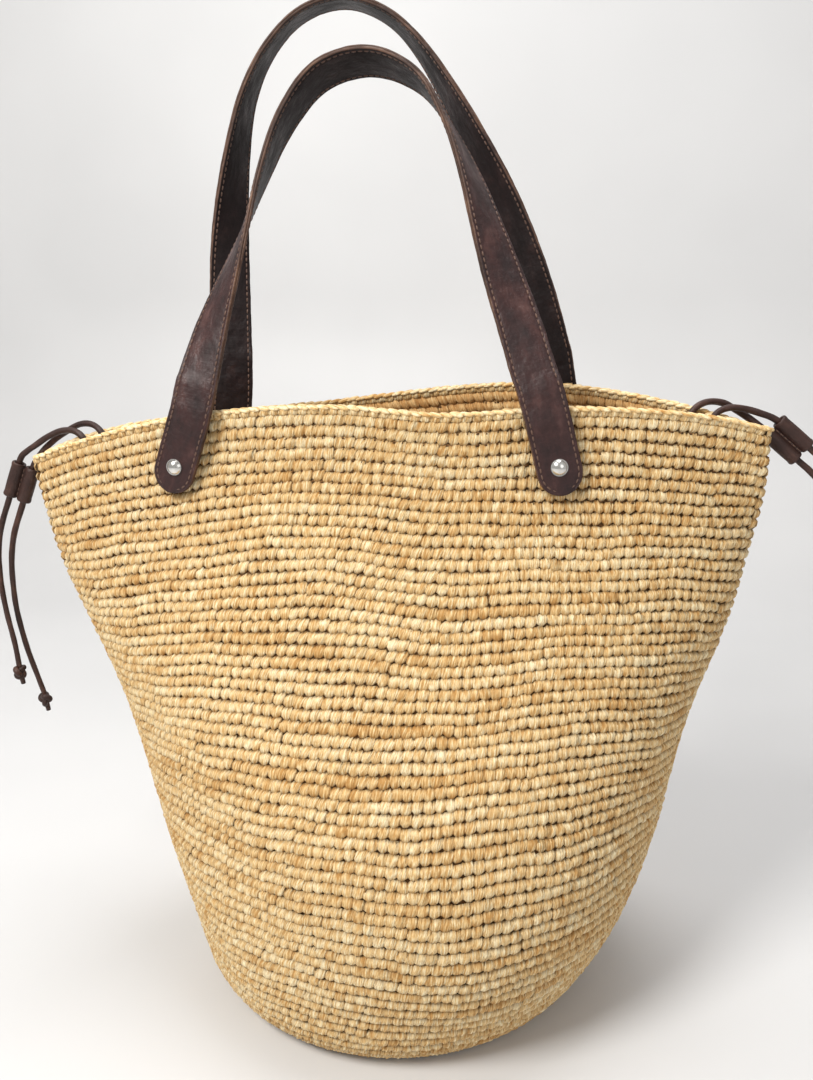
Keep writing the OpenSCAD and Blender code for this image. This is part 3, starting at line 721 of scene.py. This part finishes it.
def make_wall():
    edges = round_heights()
    counts = []
    for i in range(ROUNDS):
        arc = ring_table((edges[i] + edges[i + 1]) / 2, CREST_DEPTH)[1][-1]
        counts.append(int(min(round(arc / STITCH_W), MAX_ROUND)))
    tones = strand_tones(sum(counts))
    bands = [[] for _ in range(BANDS)]
    start, shift = 0, 0.0
    for i, count in enumerate(counts):
        v, q, g, s = stitch_round(edges[i], edges[i + 1], CREST_DEPTH, count, shift)
        tone = np.repeat(tones[start:start + count], PUFF_SIZE)
        bands[i * BANDS // ROUNDS].append((v, q, g + [0, 0, start * 2.3], s, tone))
        start += count
        shift += ROUND_SHIFT
    for k, parts in enumerate(bands):
        crochet_piece(f"crochet_wall_{k + 1}", *joined(parts), RAFFIA, *(["side_wall"] if k == 0 else []))
    return edges


INSIDE_ROUNDS = 7       # rounds inside the mouth that are drawn stitch by stitch


def make_inside(edges):
    parts = []
    for i in range(ROUNDS - INSIDE_ROUNDS, ROUNDS):
        v, q, g, s = stitch_round(edges[i], edges[i + 1], FABRIC_T - CREST_DEPTH, MAX_ROUND,
                                  ROUND_SHIFT * i + 0.5, -1)
        tone = np.repeat(strand_tones(MAX_ROUND) - 0.08, PUFF_SIZE)
        parts.append((v, q, g + [0, 0, i * 400], s, tone))
    crochet_piece("crochet_inside_top", *joined(parts), RAFFIA_IN)

    cols = 2 * MAX_ROUND
    out_levels = np.linspace(0.006, 1.0, 34)
    thirds = [np.linspace(edges[i + 1], edges[i], 3, endpoint=False) for i in range(ROUNDS - 1, -1, -1)]
    fine = np.concatenate(thirds + [[edges[0]]])
    phase = np.concatenate([np.arange(3) / 3 for _ in range(ROUNDS)] + [[0]])
    t = np.linspace(-90, 270, cols + 1)[:-1]
    verts = [wall(t, np.full(cols, u), 3.4) for u in out_levels]
    # painted shade: the core seen through the holes between stitches is painted dark
    painted_shade = [np.full(cols, 0.12)] * len(out_levels)
    for k, (u, f) in enumerate(zip(fine, phase)):
        bar = 0.5 - 0.5 * math.cos(2 * math.pi * f)
        beads = np.where((np.arange(cols) + k // 3) % 2 == 0, 1.0, 0.55)
        depth = 4.5 + 1.1 * bar * beads if u < edges[ROUNDS - INSIDE_ROUNDS] else np.full(cols, 3.6)
        verts.append(wall(t, np.full(cols, u), depth))
        # painted shade between the bead rows inside
        painted_shade.append(0.35 + 0.65 * bar * beads)
    rows = len(verts)
    verts = np.concatenate(verts)
    run = np.concatenate([out_levels, fine]) * BODY_H
    grain = stacked(np.arange(cols)[None] * STITCH_W / 2, run[:, None], np.arange(rows)[:, None] * 0.7)
    tone = np.clip(0.4 + 0.12 * rng.normal(0, 1, (rows, cols)), 0, 1).ravel()
    crochet_piece("crochet_core", verts, grid_quads(rows, cols, close_rows=True), grain,
                  np.concatenate(painted_shade), tone, RAFFIA_IN)


def make_rim():
    """The edging round: a short row of stitches, and a chain of slip stitches along its top."""
    count = MAX_ROUND
    parts = []
    t_tab, arc = ring_table(1.0, 3.0)
    t = np.interp((np.arange(count) + 0.3) / count * arc[-1], arc, t_tab)
    pitch = arc[-1] / count
    centre, along, up, out = wall_frame(t, np.full(count, 0.9999), 3.0)
    for facing in (1, -1):
        c = centre + out * facing * 1.7 + [0, 0, 1.6]
        width = np.full(count, pitch) * (1 + rng.normal(0, 0.03, count))
        v, q, g, s = puffs(c, along * facing, up, out * facing, width, np.full(count, 5.2),
                           rng.normal(0.6, 0.2, count), 1 + rng.normal(0, 0.05, count), np.full(count, 0.1))
        parts.append((v, q, g + [0, 0, 900 + 400 * facing], s, np.repeat(strand_tones(count), PUFF_SIZE)))
    for facing in (1, -1):
        c = centre + out * facing * (1.75 + rng.normal(0, 0.12, count))[:, None] \
            + np.array([0, 0, 1.0]) * (4.35 + rng.normal(0, 0.15, count))[:, None]
        axis = unit(along + out * facing * 0.30 - np.array([0, 0, 0.16]))
        side = unit(np.cross(np.cross(axis, out), axis))
        v, q, g = capsules(c, axis, side, np.cross(side, axis), pitch * 1.42, 1.75, 1.45, 7, 8)
        tone = np.repeat(np.clip(strand_tones(count) + 0.08, 0, 1), len(v) // count)
        parts.append((v, q, g + [0, 0, 3000 + 500 * facing], np.full(len(v), 0.95), tone))
    crochet_piece("rim_chain", *joined(parts), RAFFIA, "rim_edging")


BASE_ROUNDS = 18
BASE_X = float(lean(FABRIC_T / WALL_TOP))       # the base stands under the foot of the wall


def make_base():
    """The round base: concentric rounds of stitches seen from below, and their backs inside."""
    parts = []
    step = (BASE_R + 1.0) / BASE_ROUNDS
    for k in range(BASE_ROUNDS):
        radius = step * (k + 0.5)
        count = max(6, round(2 * math.pi * radius / STITCH_W))
        a = (np.arange(count) + 0.37 * k) / count * 2 * np.pi
        radial = np.stack([np.cos(a), np.sin(a), 0 * a], -1)
        round_dir = np.stack([np.sin(a), -np.cos(a), 0 * a], -1)
        down = np.tile([0.0, 0.0, -1.0], (count, 1))
        centre = radial * radius + [BASE_X, 0, 1.45]
        width = np.full(count, 2 * math.pi * radius / count)
        v, q, g, s = puffs(centre, round_dir, radial, down, width, np.full(count, step),
                           rng.normal(0.8, 0.2, count), np.full(count, 1.0), np.full(count, 0.15))
        v[:, 2] = np.maximum(v[:, 2], 0.12)
        parts.append((v, q, g + [0, 0, 5000 + k * 300], s, np.repeat(strand_tones(count), PUFF_SIZE)))
    crochet_piece("crochet_base", *joined(parts), RAFFIA, "base_disc")

    cols, rows = 240, 3 * BASE_ROUNDS
    radii = np.linspace(0.6, BASE_R - 1, rows)
    a = np.arange(cols) / cols * 2 * np.pi
    bar = 0.5 - 0.5 * np.cos(2 * np.pi * radii / step)
    beads = 0.75 + 0.25 * np.cos(np.outer(np.round(2 * np.pi * radii / STITCH_W), a))
    height = 4.6 + 1.2 * bar[:, None] * beads
    under = radii[::-6]
    r_all = np.concatenate([radii, under])[:, None]
    z = np.concatenate([height, np.full((len(under), cols), 2.9)])
    verts = stacked(r_all * np.cos(a), r_all * np.sin(a), z) + [BASE_X, 0, 0]
    quads = grid_quads(len(r_all), cols, close_rows=True)
    grain = stacked(a[None] * r_all, r_all, r_all * 0.2)
    # painted shade: darker between the rounds of the base's inside, and on its underside
    painted_shade = np.concatenate([0.4 + 0.6 * bar[:, None] * beads, np.full((len(under), cols), 0.3)]).ravel()
    tone = np.clip(rng.normal(0.42, 0.1, painted_shade.shape), 0, 1)
    crochet_piece("crochet_base_inside", verts, quads, grain, painted_shade, tone, RAFFIA_IN)


round_edges = make_wall()
make_inside(round_edges)
make_rim()
make_base()

# ---- handles ----
STRAP_W, STRAP_T, LINING_T = 28.0, 4.2, 2.0
HINGE_GAP, HINGE_OUT, HINGE_UP = 2.5, 3.5, 4.0
TAB_L, RIVET_FROM_TIP = 54.0, 17.5
TAB_CLEAR, RIVET_CLEAR = 2.6, 2.9       # behind a tab's top and behind its rivet
TAB_SHARES = (1, 0.8, 0.62, 0.45, 0.3, 0.16)    # where a tab's middle line is taken, from its tip
YAW_REACH, YAW_MORE = 10.0, 2.0         # the stretch of rim that turns a tab, and the turn behind it
UNEVEN_TILT = 2.5                       # how far each tab's tilt differs from its handle's mean
TWIST_TOP, TWIST_SKEW, TWIST_EASE = 98.0, 1.15, 1.5
# side is -1 for the front and 1 for the back; leg, further down, is -1 for left and 1 for right
HANDLES = {
    "front": {
        "side": -1, "half_gap": 108.5, "shift": -5.5, "lean": 20.0, "tilt": 16.5,
        "arch": [(108.5, 2.5), (102.5, 16), (92, 48), (81, 79), (70.5, 110), (59, 143), (44.5, 175),
                 (24.5, 204), (-6.5, 218), (-38.5, 209), (-59.5, 180), (-72.5, 144), (-81.5, 111),
                 (-90.5, 79), (-99.5, 46), (-106, 15), (-108.5, 2.5)]},
    "back": {
        "side": 1, "half_gap": 111.0, "shift": -1.0, "lean": 8.0, "tilt": 9.0,
        "arch": [(111, 2.5), (107, 17), (97, 50), (85, 83), (71.5, 115), (56, 146), (39, 177), (17, 210),
                 (-6, 232), (-35, 242), (-64, 234), (-86, 212), (-100, 183), (-107, 150), (-111, 117),
                 (-113, 83), (-113, 49), (-112, 15), (-111, 2.5)]},
}


def wall_y(x, u):
    """How far the wall's outside lies from the bag's middle plane."""
    a, b = half_width(u) - FABRIC_T, half_depth(u) - FABRIC_T
    return b * (1 - ((x - lean(u)) / a) ** 2) ** ((1 + PINCH * u ** 3) / 2) + FABRIC_T


def leg_at(handle, leg):
    return handle["shift"] + leg * handle["half_gap"]


def rim_z(handle, leg):
    return BODY_H - rim_drop(handle["side"] * np.degrees(np.arccos(leg_at(handle, leg) / MOUTH_A)))


def hinge_of(handle):
    """The middle of a handle's bending line, which is level and clears the rim at both legs."""
    y = max(wall_y(leg_at(handle, leg), 1) for leg in (-1, 1)) + TAB_CLEAR + STRAP_T / 2 + HINGE_OUT
    z = max(rim_z(handle, leg) for leg in (-1, 1)) + HINGE_UP
    return np.array([handle["shift"], handle["side"] * y, z])


def tab_frame(handle, leg):
    """Origin at the top of a tab, its own x, y and z directions, and its length. It slopes so
    that it lies on the wall at its rivet."""
    side, x = handle["side"], leg_at(handle, leg)
    _, y, z = hinge_of(handle)
    y, z = side * y - HINGE_OUT, z - HINGE_GAP
    long = TAB_L + z - rim_z(handle, leg)
    down = long - RIVET_FROM_TIP
    fall = wall_y(x - leg * YAW_REACH, 1) - wall_y(x + leg * YAW_REACH, 1)
    yaw = YAW_MORE + np.degrees(np.arctan(fall / (2 * YAW_REACH)))
    tilt = handle["tilt"] + side * leg * UNEVEN_TILT
    out = down * sind(tilt)
    wall_at_rivet = wall_y(x + leg * out, (z - down) / (rim_z(handle, leg) - EDGING_H))
    back = wall_at_rivet + RIVET_CLEAR + LINING_T + out * np.tan(np.radians(yaw))
    slope = np.degrees(np.arctan((back - y) / down))
    facing = rot("z", 0 if side < 0 else 180) @ rot("z", side * leg * -yaw)
    return np.array([x, side * y, z]), facing @ rot("x", -slope) @ rot("y", side * leg * tilt), long


def tab_stations(handle, leg):
    """Middle points and outward directions down a tab, from its tip to its top."""
    origin, m, long = tab_frame(handle, leg)
    points = [origin - m @ [0, 0, long * share] for share in TAB_SHARES]
    return points, [m @ [0, -1, 0]] * len(points)


def strap_stations(handle):
    """Middle points and outward directions of a strap, from its right tip to its left one."""
    points, faces = tab_stations(handle, 1)
    arch = spline_path(handle["arch"], 3)
    tangent = unit(np.gradient(arch, axis=0))
    lean_back = rot("x", -handle["lean"])
    flip = np.array([1, -handle["side"], 1])
    for i in range(2, len(arch) - 2):
        f = i / (len(arch) - 1)
        turn = TWIST_TOP * math.sin(math.pi * f ** TWIST_SKEW) ** TWIST_EASE
        tx, tz = tangent[i]
        face = np.array([tz * sind(turn), -cosd(turn), -tx * sind(turn)])
        points.append(lean_back @ (np.array([arch[i][0], HINGE_OUT, arch[i][1]]) * flip) + hinge_of(handle))
        faces.append(lean_back @ (face * flip))
    left_points, left_faces = tab_stations(handle, -1)
    return np.array(points + left_points[::-1]), np.array(faces + left_faces)


def resampled(at, run, values):
    """Values known at the distances run, read at the distances at."""
    return np.stack([np.interp(at, run, column) for column in values.T], -1)


def strap_frames(handle, step=2.2):
    """Distances along a strap; its centre, directions across and out, and half width at each;
    and its whole length."""
    points, faces = strap_stations(handle)
    dense = spline_path(points, 12)
    out = resampled(np.linspace(0, len(points) - 1, len(dense)), np.arange(len(points)), faces)
    run = run_along(dense)
    half = STRAP_W / 2
    tip = half * (1 - np.cos(np.linspace(0, np.pi / 2, 9)))
    middle = np.linspace(half, run[-1] - half, int((run[-1] - STRAP_W) / step))
    at = np.concatenate([np.maximum(tip, 0.05)[:-1], middle, run[-1] - np.maximum(tip, 0.05)[:-1][::-1]])
    centre = resampled(at, run, dense)
    along = unit(resampled(at, run, unit(np.gradient(dense, axis=0))))
    across = unit(np.cross(along, resampled(at, run, out)))
    out = np.cross(across, along)
    from_tip = np.minimum(at, run[-1] - at)
    tip_width = np.sqrt(np.maximum(0.2, half ** 2 - (half - np.minimum(from_tip, half)) ** 2))
    width = np.where(from_tip < half, tip_width, half)
    return at, centre, across, out, width, run[-1]


# half sections, edge to middle: (share of the half width, height above the seam)
OUTER_PROFILE = [(-1, 0.06), (-1, 0.75), (-0.992, 1.25), (-0.965, 1.62), (-0.92, 1.74), (-0.865, 1.66),
                 (-0.815, 1.42), (-0.765, 1.70), (-0.68, 1.92), (-0.45, 2.1), (-0.2, 2.18), (0, 2.2)]
LINING_PROFILE = [(-1, -0.02), (-1, -0.7), (-0.992, -1.2), (-0.965, -1.55), (-0.92, -1.66), (-0.865, -1.6),
                  (-0.815, -1.4), (-0.765, -1.64), (-0.68, -1.82), (-0.45, -1.94), (-0.2, -1.99), (0, -2.0)]


def crease_depth(at, total, marks):
    depth = np.zeros_like(at)
    for where, deep, wide in marks:
        x = at - (where if where >= 0 else total + where)
        depth += deep * np.exp(-(x / wide) ** 2)
    return depth


def strap_layer(name, frames, profile, sign, mats, creases, seed):
    at, centre, across, out, width, total = frames
    q0 = np.array([p[0] for p in profile] + [-p[0] for p in profile[-2::-1]])
    q1 = np.array([p[1] for p in profile] + [p[1] for p in profile[-2::-1]])
    inner = np.linspace(0.8, -0.8, 5)
    base = profile[0][1]
    q0, q1 = np.concatenate([q0, inner]), np.concatenate([q1, np.full(5, base)])
    n = len(q0)
    dent = crease_depth(at, total, creases)
    loss = dent[:, None] * np.clip(np.abs(q1)[None] - 0.9, 0, 1) * (1 - 0.5 * np.abs(q0)[None])
    q = q1[None] - np.sign(sign) * loss
    # a softly uneven edge, as a cut and painted one
    cut = 1 + 0.006 * np.sin(at * 0.31 + seed) + 0.004 * np.sin(at * 0.83 + seed)
    w = width[:, None] * q0[None] * cut[:, None]
    verts = centre[:, None] + w[..., None] * across[:, None] + q[..., None] * out[:, None]
    quads = closed_tube_quads_any(len(at), n)
    if sign > 0:
        quads = quads[:, ::-1]
    obj = new_mesh(name, verts, quads, [("grain", stacked(w, at[:, None], np.float64(seed * 11)))])
    dress(obj, *mats)
    col = quads.min(axis=1) % n
    face_q = np.abs(q0[col])
    side_face = (face_q > 0.985) & (np.abs(q0[(col + 1) % n]) > 0.96)
    obj.data.polygons.foreach_set("material_index", side_face.astype(np.int32))
    return obj


def closed_tube_quads_any(rings, sides):
    """A tube whose two ends are closed by bridging each ring's own two sides."""
    quads = grid_quads(rings, sides).tolist()
    for start, turn in ((0, -1), ((rings - 1) * sides, 1)):
        for k in range(sides // 2 - 1):
            q = [start + k, start + k + 1, start + sides - 2 - k, start + sides - 1 - k]
            quads.append(q[::turn])
    return np.array(quads)


THREAD_IN, THREAD_PITCH = 2.6, 4.0      # the sewing: in from the strap's edge, and its pitch
THREAD_SIZE = (3.1, 0.60, 0.50)         # a stitch of thread: length, half width, half thickness
THREAD_FACES = ((1.62, 1), (-1.58, -1))     # the strap's two faces: (height above the seam, side)


def stitch_line(frames, height, sign, edge):
    """Places for saddle stitches along one edge of a strap and round its tips."""
    at, centre, across, out, _, total = frames
    half = STRAP_W / 2
    reach = half - THREAD_IN
    tip_arc = reach * math.pi / 2
    length = total - 2 * half + 2 * tip_arc
    place, offset = [], []
    for v in np.arange(THREAD_PITCH / 2, length, THREAD_PITCH):
        if v < tip_arc:
            a = v / reach
            place.append(half - reach * math.cos(a))
            offset.append(reach * math.sin(a))
        elif v > length - tip_arc:
            a = (length - v) / reach
            place.append(total - half + reach * math.cos(a))
            offset.append(reach * math.sin(a))
        else:
            place.append(half + v - tip_arc)
            offset.append(reach)
    place, offset = np.array(place), np.array(offset) * edge
    face = unit(resampled(place, at, out))
    pos = resampled(place, at, centre) + offset[:, None] * unit(resampled(place, at, across)) + height * face
    direction = unit(np.gradient(pos, axis=0))
    side = unit(np.cross(face, direction))
    return capsules(pos, direction, side, np.cross(direction, side) * sign, *THREAD_SIZE)


# creases of each strap: (distance from the right tip, or minus from the left, depth, width)
CREASES = {
    "front": [(70, 0.35, 1.2), (84, 0.3, 1.0), (102, 0.25, 1.0), (118, 0.3, 1.3), (330, 0.5, 1.6),
              (349, 0.3, 1.2), (-62, 0.35, 1.4), (-80, 0.3, 1.1), (-300, 0.3, 1.2)],
    "back": [(64, 0.35, 1.3), (300, 0.3, 1.2), (372, 0.55, 1.6), (396, 0.5, 1.5), (-62, 0.4, 1.5),
             (-104, 0.6, 1.8), (-120, 0.3, 1.2)],
}


def make_handle(key, handle, seed):
    frames = strap_frames(handle)
    body = f"{key}_handle"
    creases = CREASES[key]
    outer = strap_layer(f"{key}_strap", frames, OUTER_PROFILE, 1, (STRAP, EDGE), creases, seed)
    lining = strap_layer(f"{key}_strap_lining", frames, LINING_PROFILE, -1, (LINING, EDGE), creases, seed + 5)
    lines = [stitch_line(frames, *face, edge) for face in THREAD_FACES for edge in (-1, 1)]
    verts, quads, grain = joined(lines)
    thread = dress(new_mesh(f"{key}_strap_thread", verts, quads, [("grain", grain)]), THREAD)
    layers = ((outer, "outer", "strap_leather"), (lining, "lining", "lining_leather"),
              (thread, "stitching", "thread"))
    for obj, part, slot in layers:
        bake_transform(obj)
        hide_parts(f"{body}_{part}", *(f"{key}_{leg}_tab_{part}" for leg in ("left", "right")))


for k, (key, handle) in enumerate(HANDLES.items()):
    make_handle(key, handle, 2.0 + 3 * k)

# ---- rivets and washers ----
for name in ("rivet_studs", "rivet_caps"):
    dress(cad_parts[name], NICKEL)


def washer_material():
    mat, tree, bsdf = new_material("washer_leather")
    where = node(tree, "ShaderNodeTexCoord").outputs["Object"]
    pebble = pebbles(tree, where, 1300.0)
    cloud = noise(tree, where, 220.0)
    colour = ramp(tree, cloud, [(0.3, (0.018, 0.009, 0.008)), (0.7, (0.05, 0.025, 0.02))])
    surface(tree, bsdf, colour, ramp(tree, cloud, [(0.3, 0.5), (0.7, 0.65)]))
    bump(tree, bsdf, ramp(tree, pebble, [(0.0, 0.0), (0.2, 1.0)]), 0.3, 0.0003)
    return mat


WASHER = washer_material()
for where in ("front_left", "front_right", "back_left", "back_right"):
    dress(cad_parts[f"{where}_washer"], WASHER)


# ---- floor and light ----
FLOOR_FRONT, FLOOR_BACK, FLOOR_SIDE = -2.5, 0.75, 3.0
SWEEP_R, WALL_H = 0.45, 2.6


def make_floor():
    """A pale sheet that runs back along the floor and curves up behind the bag."""
    mat, tree, bsdf = new_material("pale_floor")
    where = node(tree, "ShaderNodeTexCoord").outputs["Object"]
    cloud = noise(tree, where, 3.0, 2.0)
    colour = ramp(tree, cloud, [(0.3, (0.64, 0.64, 0.645)), (0.7, (0.68, 0.68, 0.685))])
    tree.links.new(colour, bsdf.inputs["Base Color"])
    bsdf.inputs["Roughness"].default_value = 0.45
    profile = [(FLOOR_FRONT, 0.0), (FLOOR_BACK, 0.0)]
    for a in np.linspace(0, math.pi / 2, 13)[1:]:
        profile.append((FLOOR_BACK + SWEEP_R * math.sin(a), SWEEP_R - SWEEP_R * math.cos(a)))
    profile.append((FLOOR_BACK + SWEEP_R, WALL_H))
    verts = [(x / MM, y / MM, z / MM) for y, z in profile for x in (-FLOOR_SIDE, FLOOR_SIDE)]
    quads = [(2 * i, 2 * i + 1, 2 * i + 3, 2 * i + 2) for i in range(len(profile) - 1)]
    floor = new_mesh("pale_sweep", verts, quads)
    dress(floor, mat)


def area_light(name, at, aim, size, power, colour=(1, 1, 1)):
    data = bpy.data.lights.new(name, "AREA")
    data.shape = "DISK"
    data.size = size
    data.energy = power
    data.color = colour
    light = add_object(name, data)
    light.location = at
    light.rotation_euler = (Vector(aim) - Vector(at)).to_track_quat("-Z", "Y").to_euler()


def make_world(colour, strength):
    world = bpy.data.worlds.new("studio")
    world.use_nodes = True
    background = world.node_tree.nodes["Background"]
    background.inputs[0].default_value = colour
    background.inputs[1].default_value = strength
    bpy.context.scene.world = world


make_floor()
make_world((1.0, 0.98, 0.955, 1), 0.46)
area_light("key", (-0.8, -1.0, 1.6), (0, 0, 0.25), 0.7, 33, (1.0, 0.985, 0.95))
area_light("fill", (1.2, -1.2, 0.9), (0, 0, 0.25), 1.2, 3.5)
area_light("top", (0.1, 0.2, 1.9), (0, 0, 0.2), 1.0, 15)
bpy.context.scene.view_settings.view_transform = "Standard"
